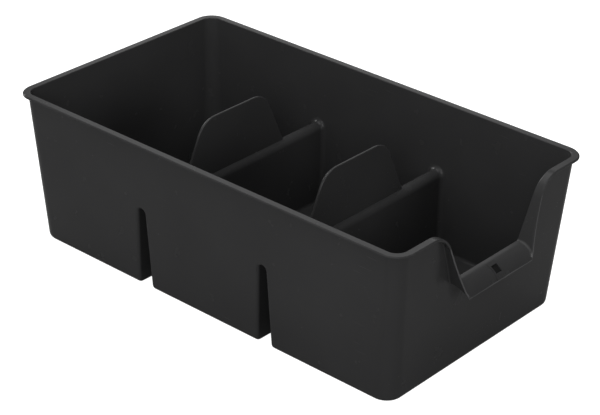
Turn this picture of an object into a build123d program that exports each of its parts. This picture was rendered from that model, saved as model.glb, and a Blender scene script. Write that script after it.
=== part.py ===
from build123d import *

import os
from math import cos, radians, sin, tan

# Divided storage bin: one moulding with three cups in a row, joined by two folded
# dividers, with a scooped front end whose edge turns out into a rolled pull lip.
# +Z is up, the scooped end faces -Y, and the long sides face -X and +X.
# The origin is on the surface that the bin stands on, under the middle of its extent.
# All lengths are in millimetres.
# The moulding is shaped as a whole first, so that its walls run on into each other,
# and is then divided face to face into the regions that have names.

# --- overall size -------------------------------------------------------------------
height = 125.5
rim_length = 380.0
rim_width = 217.0
base_length = 356.0
base_width = 196.0
wall_thickness = 2.0
floor_thickness = 2.2

# --- rim and corners ----------------------------------------------------------------
rim_overhang = 4.0
rim_thickness = 2.0
rim_corner = 15.0
wall_corner = 11.0
base_corner = 14.0
foot_radius = 4.5
cup_floor_radius = 3.0
rim_edge_chamfer = 0.7
rim_inner_radius = 0.7
rim_under_radius = 1.0
rim_lower_radius = 0.5

# --- folded dividers ----------------------------------------------------------------
divider_spacing = 122.0
fold_height = 68.0
fold_radius = 3.5
leaf_draft = 2.6
slot_edge_radius = 2.5
cup_corner_radius = 4.0

# --- divider tabs -------------------------------------------------------------------
tab_top = 118.0
tab_thickness = 2.0
tab_half_width = 56.0
tab_side_lean = 24.0
tab_corner_radius = 20.0
tab_edge_radius = 0.7

# --- scoop and pull lip -------------------------------------------------------------
scoop_floor = 78.0
scoop_half_width = 39.5
scoop_side_lean = 19.8
shoulder_radius = 21.0
scoop_corner_radius = 2.0
lip_roll_radius = 13.5
lip_roll_angle = 75.0
lip_overrun = 7.0
flange_thickness = 2.0
lip_edge_radius = 0.6

# --- mark on the lip ----------------------------------------------------------------
pad_width = 9.2
pad_height = 0.3
pad_first_angle = 12.0
pad_last_angle = 70.0
mark_size = 6.4
mark_depth = 1.3
mark_roll_angle = 36.0

# --- where the moulding is divided into its named regions ---------------------------
floor_cut = 4.0
side_cut = 91.5
end_cut = 170.0
rim_cut = 121.0
panel_cut = 66.5
lip_margin = 5.0
lip_half_width = 74.0
divider_reach = 90.0
divider_end_gap = 0.2

# --- derived values -----------------------------------------------------------------
wall_length = rim_length - 2 * rim_overhang
wall_width = rim_width - 2 * rim_overhang
mid_y = lip_overrun / 2
rear_fold_y = mid_y + divider_spacing / 2
front_fold_y = mid_y - divider_spacing / 2
fold_places = (rear_fold_y, front_fold_y)
fold_axis_z = fold_height - fold_radius
ridge_radius = fold_radius + wall_thickness
ridge_top = fold_height + wall_thickness
rim_front_y = mid_y - rim_length / 2
lip_front_y = rim_front_y - lip_overrun
roll_axis_z = scoop_floor - lip_roll_radius
roll_axis_y = lip_front_y + lip_roll_radius * sin(radians(lip_roll_angle))
clear = 40.0

floor_plane = Plane.XY.offset(floor_cut)
rim_plane = Plane.XY.offset(rim_cut)
panel_plane = Plane.XY.offset(panel_cut)
left_plane = Plane.YZ.offset(-side_cut)
right_plane = Plane.YZ.offset(side_cut)


def outline_at(z, inset):
    """Width, length and corner radius of the tapered wall at height z, moved inwards."""
    share = z / height
    width = base_width + (wall_width - base_width) * share
    length = base_length + (wall_length - base_length) * share
    corner = base_corner + (wall_corner - base_corner) * share
    return width - 2 * inset, length - 2 * inset, corner - inset


def at_rim(edges_of_part, z, depth):
    """The rim's long edges at height z that lie a given depth inside the wall's outer face."""
    width, length, _ = outline_at(z, 0)
    places = []
    for edge in edges_of_part:
        middle = edge.center()
        edge_depth = min(width / 2 - abs(middle.X), length / 2 - abs(middle.Y - mid_y))
        if abs(middle.Z - z) < 0.05 and abs(edge_depth - depth) < 0.2:
            places.append(edge)
    return places


def fold_profile(radius, bottom):
    """An inverted U with drafted legs, drawn with Y to the right and Z up."""
    side = radius * cos(radians(leaf_draft))
    side_z = fold_axis_z + radius * sin(radians(leaf_draft))
    foot = side + (side_z - bottom) * tan(radians(leaf_draft))
    with BuildSketch() as profile:
        with BuildLine():
            ThreePointArc((side, side_z), (0, fold_axis_z + radius), (-side, side_z))
            Polyline((-side, side_z), (-foot, bottom), (foot, bottom), (side, side_z))
        make_face()
    return profile.sketch


def roll_point(radius, angle):
    """A point of the lip's roll, in Y and Z, at an angle from the top of the roll."""
    return roll_axis_y - radius * sin(radians(angle)), roll_axis_z + radius * cos(radians(angle))


# The scoop's opening seen from the front, run on below its floor and above the rim.
with BuildSketch() as scoop_view:
    lean = tan(radians(scoop_side_lean))
    low = scoop_floor - 2 * lip_roll_radius
    low_half = scoop_half_width + (low - scoop_floor) * lean
    top_half = scoop_half_width + (height - scoop_floor) * lean
    with BuildLine():
        Polyline((0, low), (low_half, low), (top_half, height), (rim_width, height))
        Polyline((rim_width, height), (rim_width, height + clear), (0, height + clear))
        mirror(about=Plane.YZ)
    make_face()
    shoulder = [v for v in vertices() if abs(abs(v.X) - top_half) < 0.01 and abs(v.Y - height) < 0.01]
    fillet(shoulder, shoulder_radius)

# Side view of all that lies above the scoop's floor and the rolled lip.
with BuildSketch() as above_lip:
    with BuildLine():
        roll_start = roll_point(lip_roll_radius, 0)
        roll_end = roll_point(lip_roll_radius, lip_roll_angle)
        ThreePointArc(roll_start, roll_point(lip_roll_radius, lip_roll_angle / 2), roll_end)
        Polyline(
            roll_end,
            (roll_end[0] - clear, roll_end[1]),
            (roll_end[0] - clear, height + clear),
            (roll_start[0] + clear, height + clear),
            (roll_start[0] + clear, roll_start[1]),
            roll_start,
        )
    make_face()

# Side view of the flange round the scoop, out to its leaning outer edge.
with BuildSketch() as flange_side:
    under_radius = lip_roll_radius - flange_thickness
    with BuildLine():
        under_start = roll_point(under_radius, 0)
        under_end = roll_point(under_radius, lip_roll_angle)
        ThreePointArc(under_start, roll_point(under_radius, lip_roll_angle / 2), under_end)
        Line(under_end, roll_end)
        TangentArc((rim_front_y, height - rim_thickness), roll_end, tangent=(0, -1))
        Polyline(
            (rim_front_y, height - rim_thickness),
            (rim_front_y, height),
            (under_start[0] + wall_thickness, height),
            (under_start[0] + wall_thickness, under_start[1]),
            under_start,
        )
    make_face()

# The space above the scoop's floor and lip, between the scoop's sides.
with BuildPart() as scoop_space:
    with BuildSketch(Plane.XZ.offset(clear)):
        add(scoop_view.sketch)
    extrude(amount=rim_length)
    with BuildSketch(Plane.YZ.offset(-rim_width)):
        add(above_lip.sketch)
    extrude(amount=2 * rim_width, mode=Mode.INTERSECT)
    floor_edges = edges().filter_by(lambda e: e.center().Z < scoop_floor + 1 and abs(e.center().X) > low_half)
    creases = floor_edges.filter_by(lambda e: e.center().Y > lip_front_y - 1)
    fillet(creases, scoop_corner_radius)

# The flange and the rolled lip, still filled in on their upper side.
with BuildPart() as flange_block:
    with BuildSketch(Plane.XZ.offset(clear)):
        add(scoop_view.sketch)
        offset(amount=flange_thickness, kind=Kind.INTERSECTION)
    extrude(amount=rim_length)
    with BuildSketch(Plane.YZ.offset(rim_corner - rim_width / 2)):
        add(flange_side.sketch)
    extrude(amount=rim_width - 2 * rim_corner, mode=Mode.INTERSECT)
    under_creases = edges().filter_by(
        lambda e: low_half < abs(e.center().X) < top_half
        and (e.geom_type == GeomType.ELLIPSE or e.center().Y > roll_axis_y)
        and e.center().Z < scoop_floor
        and e.length > flange_thickness
    )
    fillet(under_creases, scoop_corner_radius + flange_thickness)

# The air inside the bin: a tapered core that the two folded dividers reach up into.
with BuildPart() as inside:
    for z in (floor_thickness, height + 1):
        with BuildSketch(Plane((0, mid_y, z))):
            RectangleRounded(*outline_at(z, wall_thickness))
    loft()
    with BuildSketch(Plane.YZ.offset(-rim_width)):
        with Locations((rear_fold_y, 0), (front_fold_y, 0)):
            add(fold_profile(ridge_radius, 0))
    extrude(amount=2 * rim_width, mode=Mode.SUBTRACT)
    fold_ends = edges().filter_by(
        lambda e: abs(e.center().X) > side_cut
        and min(abs(e.center().Y - y) for y in fold_places) < 2 * ridge_radius
        and floor_thickness + 1 < e.center().Z < height - 1
    )
    fillet(fold_ends, cup_corner_radius)
    fillet(edges().group_by(Axis.Z)[0], cup_floor_radius)

# The whole moulding, before it is divided into its regions.
with BuildPart() as moulding:
    for z in (0, height):
        with BuildSketch(Plane((0, mid_y, z))):
            RectangleRounded(*outline_at(z, 0))
    loft()
    fillet(edges().group_by(Axis.Z)[0], foot_radius)
    with BuildSketch(Plane.YZ.offset(-rim_width)):
        with Locations((rear_fold_y, 0), (front_fold_y, 0)):
            add(fold_profile(fold_radius, -1))
    extrude(amount=2 * rim_width, mode=Mode.SUBTRACT)
    slot_edges = edges().filter_by(
        lambda e: min(abs(e.center().Y - y) for y in fold_places) < 2 * ridge_radius
        and (abs(e.center().X) > side_cut or e.center().Z < 1)
        and not (abs(e.center().X) < 1 and e.center().Z > 1)
    )
    fillet(slot_edges, slot_edge_radius)
    with BuildSketch(Plane((0, mid_y, height - rim_thickness))):
        RectangleRounded(rim_width, rim_length, rim_corner)
    extrude(amount=rim_thickness)
    add(flange_block.part)
    add(inside.part, mode=Mode.SUBTRACT)
    add(scoop_space.part, mode=Mode.SUBTRACT)
    rim_bottom = height - rim_thickness
    chamfer(at_rim(edges(), height, -rim_overhang), rim_edge_chamfer)
    fillet(at_rim(edges(), height, wall_thickness), rim_inner_radius)
    fillet(at_rim(edges(), rim_bottom, 0), rim_under_radius)
    fillet(at_rim(edges(), rim_bottom, -rim_overhang), rim_lower_radius)

# The zone of the scoop's lip: the flange and a narrow band of the front wall beside it.
with BuildPart() as lip_zone:
    with BuildSketch(Plane.XZ.offset(clear)):
        add(scoop_view.sketch)
        offset(amount=lip_margin, kind=Kind.INTERSECTION)
    extrude(amount=rim_length)
    lip_band_bottom = scoop_floor - lip_margin
    wall_face_y = mid_y - outline_at(lip_band_bottom, 0)[1] / 2
    with BuildSketch(Plane.YZ.offset(-lip_half_width)):
        with BuildLine():
            Polyline(
                (mid_y - end_cut, lip_band_bottom),
                (wall_face_y - flange_thickness, lip_band_bottom),
                (wall_face_y - flange_thickness, roll_axis_z - flange_thickness),
                (lip_front_y - clear, roll_axis_z - flange_thickness),
                (lip_front_y - clear, height + clear),
                (mid_y - end_cut, height + clear),
                (mid_y - end_cut, lip_band_bottom),
            )
        make_face()
    extrude(amount=2 * lip_half_width, mode=Mode.INTERSECT)

# The zone of the dividers, which ends just short of the side walls' inner faces.
with BuildPart() as divider_zone:
    for z in (floor_cut - 1, rim_cut + 1):
        zone_width = outline_at(z, wall_thickness + divider_end_gap)[0]
        with BuildSketch(Plane((0, mid_y, z))):
            Rectangle(zone_width, 2 * divider_reach)
    loft()

# The cups' bottoms, which stand apart from each other below the folds.
with BuildPart() as bottoms:
    add(moulding.part)
    split(bisect_by=floor_plane, keep=Keep.BOTTOM)

cup_bottoms = bottoms.part.solids().sort_by(Axis.Y)

with BuildPart() as front_floor:
    add(cup_bottoms[0])
front_floor.part.label = "front_floor"

with BuildPart() as middle_floor:
    add(cup_bottoms[1])
middle_floor.part.label = "middle_floor"

with BuildPart() as rear_floor:
    add(cup_bottoms[2])
rear_floor.part.label = "rear_floor"

with BuildPart() as rim:
    add(moulding.part)
    split(bisect_by=rim_plane, keep=Keep.TOP)
    add(lip_zone.part, mode=Mode.SUBTRACT)
rim.part.label = "rim"

# The walls and dividers between the cups' bottoms and the rim.
with BuildPart() as upright_walls:
    add(moulding.part)
    split(bisect_by=floor_plane, keep=Keep.TOP)
    split(bisect_by=rim_plane, keep=Keep.BOTTOM)
    add(lip_zone.part, mode=Mode.SUBTRACT)

with BuildPart() as dividers:
    add(upright_walls.part)
    add(divider_zone.part, mode=Mode.INTERSECT)

front_fold, rear_fold = dividers.part.solids().sort_by(Axis.Y)

with BuildPart() as front_divider:
    add(front_fold)
front_divider.part.label = "front_divider"

with BuildPart() as rear_divider:
    add(rear_fold)
rear_divider.part.label = "rear_divider"

with BuildPart() as outer_walls:
    add(upright_walls.part)
    add(divider_zone.part, mode=Mode.SUBTRACT)

# Each side wall has a band above the folds and three panels that the fold slots part.
side_walls = []
for side, side_plane, outer_side in (
    ("left", left_plane, Keep.BOTTOM),
    ("right", right_plane, Keep.TOP),
):
    with BuildPart() as side_band:
        add(outer_walls.part)
        split(bisect_by=side_plane, keep=outer_side)
        split(bisect_by=panel_plane, keep=Keep.TOP)
    side_band.part.label = f"{side}_side_wall"
    side_walls.append(side_band)

    with BuildPart() as below_band:
        add(outer_walls.part)
        split(bisect_by=side_plane, keep=outer_side)
        split(bisect_by=panel_plane, keep=Keep.BOTTOM)
    panels = below_band.part.solids().sort_by(Axis.Y)
    for panel_place, panel in zip(("front", "middle", "rear"), panels):
        with BuildPart() as side_panel:
            add(panel)
        side_panel.part.label = f"{side}_{panel_place}_panel"
        side_walls.append(side_panel)

with BuildPart() as end_walls:
    add(outer_walls.part)
    split(bisect_by=left_plane, keep=Keep.TOP)
    split(bisect_by=right_plane, keep=Keep.BOTTOM)

front_end, rear_end = end_walls.part.solids().sort_by(Axis.Y)

with BuildPart() as front_wall:
    add(front_end)
front_wall.part.label = "front_wall"

with BuildPart() as rear_wall:
    add(rear_end)
rear_wall.part.label = "rear_wall"

# The turned-out lip of the scoop, with a raised pad and a plain square mark in it.
with BuildPart() as scoop_lip:
    add(moulding.part)
    add(lip_zone.part, mode=Mode.INTERSECT)
    front_edge = edges().filter_by(
        lambda e: abs(e.center().Y - lip_front_y) < 0.05 and abs(e.center().X) < 0.05
    )
    fillet(front_edge, lip_edge_radius)
    with BuildSketch(Plane.YZ.offset(-pad_width / 2)):
        with BuildLine():
            pad_radius = lip_roll_radius + pad_height
            pad_root = lip_roll_radius - flange_thickness / 2
            pad_middle_angle = (pad_first_angle + pad_last_angle) / 2
            ThreePointArc(
                roll_point(pad_radius, pad_first_angle),
                roll_point(pad_radius, pad_middle_angle),
                roll_point(pad_radius, pad_last_angle),
            )
            ThreePointArc(
                roll_point(pad_root, pad_first_angle),
                roll_point(pad_root, pad_middle_angle),
                roll_point(pad_root, pad_last_angle),
            )
            Line(roll_point(pad_radius, pad_first_angle), roll_point(pad_root, pad_first_angle))
            Line(roll_point(pad_radius, pad_last_angle), roll_point(pad_root, pad_last_angle))
        make_face()
    extrude(amount=pad_width)
    mark_y, mark_z = roll_point(pad_radius, mark_roll_angle)
    mark_out = (0, -sin(radians(mark_roll_angle)), cos(radians(mark_roll_angle)))
    with BuildSketch(Plane(origin=(0, mark_y, mark_z), x_dir=(1, 0, 0), z_dir=mark_out)):
        Rectangle(mark_size, mark_size)
    extrude(amount=mark_depth, both=True, mode=Mode.SUBTRACT)
scoop_lip.part.label = "scoop_lip"

# The upright tabs that stand on the middle of the dividers' ridges.
tabs = []
for tab_name, fold_y in (("rear_divider_tab", rear_fold_y), ("front_divider_tab", front_fold_y)):
    with BuildPart() as divider_tab:
        with BuildSketch(Plane.XZ.offset(-fold_y)):
            tab_lean = tan(radians(tab_side_lean))
            root_half = tab_half_width + (ridge_top - fold_height) * tab_lean
            top_half_width = tab_half_width - (tab_top - ridge_top) * tab_lean
            with BuildLine():
                Polyline(
                    (-root_half, fold_height),
                    (root_half, fold_height),
                    (top_half_width, tab_top),
                    (-top_half_width, tab_top),
                    (-root_half, fold_height),
                )
            make_face()
            fillet(vertices().group_by(Axis.Y)[-1], tab_corner_radius)
        extrude(amount=tab_thickness / 2, both=True)
        with BuildSketch(Plane.YZ.offset(-rim_width)):
            with Locations((fold_y, 0)):
                add(fold_profile(ridge_radius, 0))
        extrude(amount=2 * rim_width, mode=Mode.SUBTRACT)
        outline_edges = edges().filter_by(
            lambda e: e.center().Z > ridge_top and abs(e.center().Y - fold_y) > tab_thickness / 2 - 0.01
        )
        fillet(outline_edges, tab_edge_radius)
    divider_tab.part.label = tab_name
    tabs.append(divider_tab)

os.makedirs("parts", exist_ok=True)
regions = [front_floor, middle_floor, rear_floor, front_wall, rear_wall]
regions += [front_divider, rear_divider, rim, scoop_lip]
for piece in regions + side_walls + tabs:
    export_step(piece.part, f"parts/{piece.part.label}.step")
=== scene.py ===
from math import cos, radians, sin

import bpy
from mathutils import Matrix, Vector

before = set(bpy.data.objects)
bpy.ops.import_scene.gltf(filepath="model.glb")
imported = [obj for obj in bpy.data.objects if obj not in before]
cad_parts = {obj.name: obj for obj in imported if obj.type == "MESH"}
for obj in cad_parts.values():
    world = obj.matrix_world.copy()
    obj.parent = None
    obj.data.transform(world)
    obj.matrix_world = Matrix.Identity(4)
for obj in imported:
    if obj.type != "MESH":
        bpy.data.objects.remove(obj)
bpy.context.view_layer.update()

# --- camera, light and floor, in degrees, metres and watts ----------------------------
CAMERA_AZIMUTH = -48.886
CAMERA_ELEVATION = 28.51
CAMERA_ROLL = 1.073
CAMERA_DISTANCE = 1.4785
CAMERA_TARGET = Vector((-0.0064, -0.0099, 0.060))
LENS_MM = 117.24
SENSOR_MM = 36.0
CLIP_START = 0.05

PAPER_WHITE = (1.0, 1.0, 1.0, 1.0)
WORLD_STRENGTH = 0.1
LIGHT_AIM = (0.0, 0.0, 0.05)
# Name, place, edge length in metres, power in watts.
STUDIO_LIGHTS = (
    ("overhead", (0.0, 0.0, 1.8), 1.8, 34.0),
    ("left_high", (-1.5, 0.1, 1.6), 1.2, 6.4),
    ("left_low", (-2.1, 0.1, 0.6), 1.0, 17.8),
    ("front_low", (0.0, -2.1, 0.6), 1.0, 19.6),
    ("beside_camera", (-1.7, -1.0, 1.1), 1.0, 22.2),
    ("back", (0.2, 2.0, 1.2), 1.2, 43.5),
    ("behind", (1.5, 1.3, 1.15), 1.0, 3.8),
)
FLOOR_HALF = 6.0
FLOOR_GAP = 0.0002
FLOOR_COLOUR = (0.25, 0.25, 0.25, 1.0)
FLOOR_ROUGHNESS = 0.9

# --- plastic --------------------------------------------------------------------------
PLASTIC_DARK = (0.0185, 0.0185, 0.0188, 1.0)
PLASTIC_LIGHT = (0.0215, 0.0215, 0.0218, 1.0)
PLASTIC_WORN = (0.050, 0.050, 0.050, 1.0)
PLASTIC_ROUGHNESS = (0.20, 0.28)
PLASTIC_SPECULAR = 0.1
# Painted shade: a darker colour on the bottom of the square mark's recess stands in for the
# shade inside it.
POCKET_SHADE_DARK = (0.005, 0.005, 0.005, 1.0)
POCKET_SHADE_LIGHT = (0.007, 0.007, 0.007, 1.0)
# Painted highlight: a lighter colour on the outward faces of the flange's and lip's outer
# edge stands in for the highlight on that rounded edge.
EDGE_HIGHLIGHT_DARK = (0.042, 0.042, 0.043, 1.0)
EDGE_HIGHLIGHT_LIGHT = (0.052, 0.052, 0.053, 1.0)
# Each noise: features in a metre, levels of detail and stretch along x, y and z.
RUBS_ALONG = (900, 2, (1, 30, 1))
RUBS_DOWN = (700, 2, (1, 1, 18))
PATCHES = (22, 3)
CLOUDS = (14, 3)
MOTTLE = (60, 4)
GRAIN = (1500, 2)
WAVES = (28, 1)
# The span of a noise that is spread over the whole range from 0 to 1.
UNIT = (0, 1)
RUBS_ALONG_SPAN = (0.68, 0.80)
RUBS_DOWN_SPAN = (0.71, 0.83)
PATCHES_SPAN = (0.50, 0.68)
MIDDLE_SPAN = (0.3, 0.7)
# Dust: cells in a metre, a speck's reach in its cell, its solid core, the cells with one.
SPECK_SCALE = 120
SPECK_REACH = 0.055
SPECK_CORE = 0.4
SPECK_CELLS = (0.72, 0.78)
# How far the marks lighten and dull the plastic.
MARKS_LIGHTEN = (0, 0.2)
MARKS_DULL = (0, 0.15)
GRAIN_STRENGTH = 0.35
GRAIN_HEIGHT = 0.00002
WAVES_STRENGTH = 0.5
WAVES_HEIGHT = 0.00015
# The Mix node's sockets for colours.
MIX_FACTOR = 0
MIX_FIRST = 6
MIX_SECOND = 7
MIX_COLOUR = 2

# --- the lip's own materials ----------------------------------------------------------
POCKET_SLOT = 1
EDGE_HIGHLIGHT_SLOT = 2
# The square mark on the lip: a point over its middle, its direction and its size.
MARK_MIDDLE = Vector((0.0, -0.18857, 0.07566))
MARK_OUT = Vector((0.0, -sin(radians(36.0)), cos(radians(36.0))))
MARK_HALF = 0.0046
MARK_DEPTH = 0.0011
MARK_FACING = 0.9
# Where the flange's and the lip's outer edges lie.
LIP_HALF = 0.0370
LIP_EDGE_Y = -0.1868
LIP_EDGE_TOP = 0.1215
LIP_EDGE_BOTTOM = 0.0688
LIP_EDGE_FACING = -0.8


def add_camera():
    """The camera looks down at the bin's scooped end and one long side."""
    azimuth = radians(CAMERA_AZIMUTH)
    elevation = radians(CAMERA_ELEVATION)
    level = cos(elevation)
    back = Vector((sin(azimuth) * level, -cos(azimuth) * level, sin(elevation)))
    right = (-back).cross(Vector((0, 0, 1))).normalized()
    up = right.cross(-back)
    turn = Matrix.Rotation(radians(CAMERA_ROLL), 3, back)
    right = turn @ right
    up = turn @ up
    data = bpy.data.cameras.new("camera")
    data.lens = LENS_MM
    data.sensor_width = SENSOR_MM
    data.clip_start = CLIP_START
    camera = bpy.data.objects.new("camera", data)
    bpy.context.scene.collection.objects.link(camera)
    place = CAMERA_TARGET + back * CAMERA_DISTANCE
    basis = Matrix((right, up, back)).transposed()
    camera.matrix_world = Matrix.Translation(place) @ basis.to_4x4()
    bpy.context.scene.camera = camera


def add_light(name, place, aim, size, power):
    """A square soft light that faces a point."""
    data = bpy.data.lights.new(name, "AREA")
    data.shape = "SQUARE"
    data.size = size
    data.energy = power
    light = bpy.data.objects.new(name, data)
    bpy.context.scene.collection.objects.link(light)
    light.location = place
    light.rotation_mode = "QUATERNION"
    light.rotation_quaternion = (Vector(aim) - Vector(place)).to_track_quat("-Z", "Y")


def add_world(strength):
    """A world that looks white to the camera and gives the bin only a little light."""
    world = bpy.data.worlds.new("studio")
    world.use_nodes = True
    tree = world.node_tree
    background = tree.nodes["Background"]
    background.inputs["Color"].default_value = PAPER_WHITE
    seen = tree.nodes.new("ShaderNodeLightPath").outputs["Is Camera Ray"]
    shown = remap(tree, seen, UNIT, (strength, 1))
    tree.links.new(shown, background.inputs["Strength"])
    bpy.context.scene.world = world


def add_floor():
    """A wide, plain floor under the bin that looks white to the camera, as on paper."""
    mesh = bpy.data.meshes.new("floor")
    corners = [
        (along * FLOOR_HALF, across * FLOOR_HALF, -FLOOR_GAP)
        for along, across in ((-1, -1), (1, -1), (1, 1), (-1, 1))
    ]
    mesh.from_pydata(corners, [], [(0, 1, 2, 3)])
    floor = bpy.data.objects.new("floor", mesh)
    bpy.context.scene.collection.objects.link(floor)
    material = bpy.data.materials.new("floor_white")
    material.use_nodes = True
    shader = material.node_tree.nodes["Principled BSDF"]
    shader.inputs["Base Color"].default_value = FLOOR_COLOUR
    shader.inputs["Roughness"].default_value = FLOOR_ROUGHNESS
    shader.inputs["Specular IOR Level"].default_value = 0.0
    shader.inputs["Emission Color"].default_value = PAPER_WHITE
    tree = material.node_tree
    seen = tree.nodes.new("ShaderNodeLightPath").outputs["Is Camera Ray"]
    tree.links.new(seen, shader.inputs["Emission Strength"])
    # From below the floor is clear, so that the bin's feet can be seen.
    clear = tree.nodes.new("ShaderNodeBsdfTransparent")
    sided = tree.nodes.new("ShaderNodeMixShader")
    below = tree.nodes.new("ShaderNodeNewGeometry").outputs["Backfacing"]
    tree.links.new(below, sided.inputs[0])
    tree.links.new(shader.outputs[0], sided.inputs[1])
    tree.links.new(clear.outputs[0], sided.inputs[2])
    tree.links.new(sided.outputs[0], tree.nodes["Material Output"].inputs["Surface"])
    mesh.materials.append(material)


def noise(tree, place, scale, detail, stretch=(1, 1, 1)):
    """Noise in the bin's own coordinates, with its features stretched along each axis."""
    mapping = tree.nodes.new("ShaderNodeMapping")
    mapping.inputs["Scale"].default_value = [scale / share for share in stretch]
    tree.links.new(place, mapping.inputs["Vector"])
    texture = tree.nodes.new("ShaderNodeTexNoise")
    texture.inputs["Scale"].default_value = 1.0
    texture.inputs["Detail"].default_value = detail
    tree.links.new(mapping.outputs["Vector"], texture.inputs["Vector"])
    return texture.outputs["Fac"]


def remap(tree, value, from_range, to_range):
    """A value carried from one range to another and held inside it."""
    node = tree.nodes.new("ShaderNodeMapRange")
    node.inputs["From Min"].default_value, node.inputs["From Max"].default_value = from_range
    node.inputs["To Min"].default_value, node.inputs["To Max"].default_value = to_range
    tree.links.new(value, node.inputs["Value"])
    return node.outputs["Result"]


def combine(tree, operation, first, second):
    """Two values put together by one of the Math node's operations."""
    node = tree.nodes.new("ShaderNodeMath")
    node.operation = operation
    tree.links.new(first, node.inputs[0])
    tree.links.new(second, node.inputs[1])
    return node.outputs["Value"]


def specks(tree, place, scale, reach):
    """Sparse round specks: the middles of a few of a Voronoi pattern's cells."""
    cells = tree.nodes.new("ShaderNodeTexVoronoi")
    cells.inputs["Scale"].default_value = scale
    tree.links.new(place, cells.inputs["Vector"])
    core = remap(tree, cells.outputs["Distance"], (reach, reach * SPECK_CORE), UNIT)
    chosen = remap(tree, cells.outputs["Color"], SPECK_CELLS, UNIT)
    return combine(tree, "MULTIPLY", core, chosen)


def bump(tree, height, strength, distance):
    """A Bump node that raises the surface by a noise, up to a distance in metres."""
    node = tree.nodes.new("ShaderNodeBump")
    node.inputs["Strength"].default_value = strength
    node.inputs["Distance"].default_value = distance
    tree.links.new(height, node.inputs["Height"])
    return node


def black_plastic(name, dark, light):
    """Injection-moulded black plastic: semi-gloss, finely grained and lightly handled."""
    material = bpy.data.materials.new(name)
    material.use_nodes = True
    tree = material.node_tree
    shader = tree.nodes["Principled BSDF"]
    shader.inputs["Specular IOR Level"].default_value = PLASTIC_SPECULAR
    place = tree.nodes.new("ShaderNodeTexCoord").outputs["Object"]

    # Handling marks: long faint rubs along the bin, short ones down it, and dust specks.
    rubs_along = remap(tree, noise(tree, place, *RUBS_ALONG), RUBS_ALONG_SPAN, UNIT)
    rubs_down = remap(tree, noise(tree, place, *RUBS_DOWN), RUBS_DOWN_SPAN, UNIT)
    patches = remap(tree, noise(tree, place, *PATCHES), PATCHES_SPAN, UNIT)
    all_rubs = combine(tree, "MAXIMUM", rubs_along, rubs_down)
    rubs = combine(tree, "MULTIPLY", all_rubs, patches)
    dust = specks(tree, place, SPECK_SCALE, SPECK_REACH)
    marks = combine(tree, "MAXIMUM", rubs, dust)

    # Colour: slow, slight change of depth, made a little greyer by the marks.
    depth = remap(tree, noise(tree, place, *CLOUDS), MIDDLE_SPAN, UNIT)
    body = tree.nodes.new("ShaderNodeMix")
    body.data_type = "RGBA"
    body.inputs[MIX_FIRST].default_value = dark
    body.inputs[MIX_SECOND].default_value = light
    tree.links.new(depth, body.inputs[MIX_FACTOR])
    worn = tree.nodes.new("ShaderNodeMix")
    worn.data_type = "RGBA"
    worn.inputs[MIX_SECOND].default_value = PLASTIC_WORN
    tree.links.new(remap(tree, marks, UNIT, MARKS_LIGHTEN), worn.inputs[MIX_FACTOR])
    tree.links.new(body.outputs[MIX_COLOUR], worn.inputs[MIX_FIRST])
    tree.links.new(worn.outputs[MIX_COLOUR], shader.inputs["Base Color"])

    # Roughness: a mottled polish that the marks dull.
    polish = remap(tree, noise(tree, place, *MOTTLE), MIDDLE_SPAN, PLASTIC_ROUGHNESS)
    dulled = combine(tree, "ADD", polish, remap(tree, marks, UNIT, MARKS_DULL))
    tree.links.new(dulled, shader.inputs["Roughness"])

    # Relief: a fine moulded grain over a slight waviness of the thin walls.
    grain = bump(tree, noise(tree, place, *GRAIN), GRAIN_STRENGTH, GRAIN_HEIGHT)
    waves = bump(tree, noise(tree, place, *WAVES), WAVES_STRENGTH, WAVES_HEIGHT)
    tree.links.new(waves.outputs["Normal"], grain.inputs["Normal"])
    tree.links.new(grain.outputs["Normal"], shader.inputs["Normal"])
    return material


plastic = black_plastic("moulded_black", PLASTIC_DARK, PLASTIC_LIGHT)
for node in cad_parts.values():
    node.data.materials.clear()
    node.data.materials.append(plastic)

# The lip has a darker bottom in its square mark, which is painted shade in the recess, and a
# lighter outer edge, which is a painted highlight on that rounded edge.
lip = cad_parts["scoop_lip"].data
lip.materials.append(black_plastic("pocket_painted_shade", POCKET_SHADE_DARK, POCKET_SHADE_LIGHT))
lip.materials.append(black_plastic("painted_highlight_black", EDGE_HIGHLIGHT_DARK, EDGE_HIGHLIGHT_LIGHT))
for face in lip.polygons:
    away = face.center - MARK_MIDDLE
    depth = -away.dot(MARK_OUT)
    in_square = (away + MARK_OUT * depth).length < MARK_HALF
    at_bottom = MARK_DEPTH < depth < 2 * MARK_DEPTH
    # Painted shade: the bottom of the recess takes the darker colour.
    if in_square and at_bottom and face.normal.dot(MARK_OUT) > MARK_FACING:
        face.material_index = POCKET_SLOT
    # Painted highlight: the outward faces along the flange's and lip's outer edge take the
    # lighter colour.
    on_flange = abs(face.center.x) > LIP_HALF and face.center.z < LIP_EDGE_TOP
    on_lip = face.center.z < LIP_EDGE_BOTTOM
    faces_out = face.center.y < LIP_EDGE_Y and face.normal.y < LIP_EDGE_FACING
    if faces_out and (on_flange or on_lip):
        face.material_index = EDGE_HIGHLIGHT_SLOT

add_camera()
add_world(WORLD_STRENGTH)
add_floor()
for light_name, light_place, light_size, light_power in STUDIO_LIGHTS:
    add_light(light_name, light_place, LIGHT_AIM, light_size, light_power)
bpy.context.scene.view_settings.view_transform = "Standard"
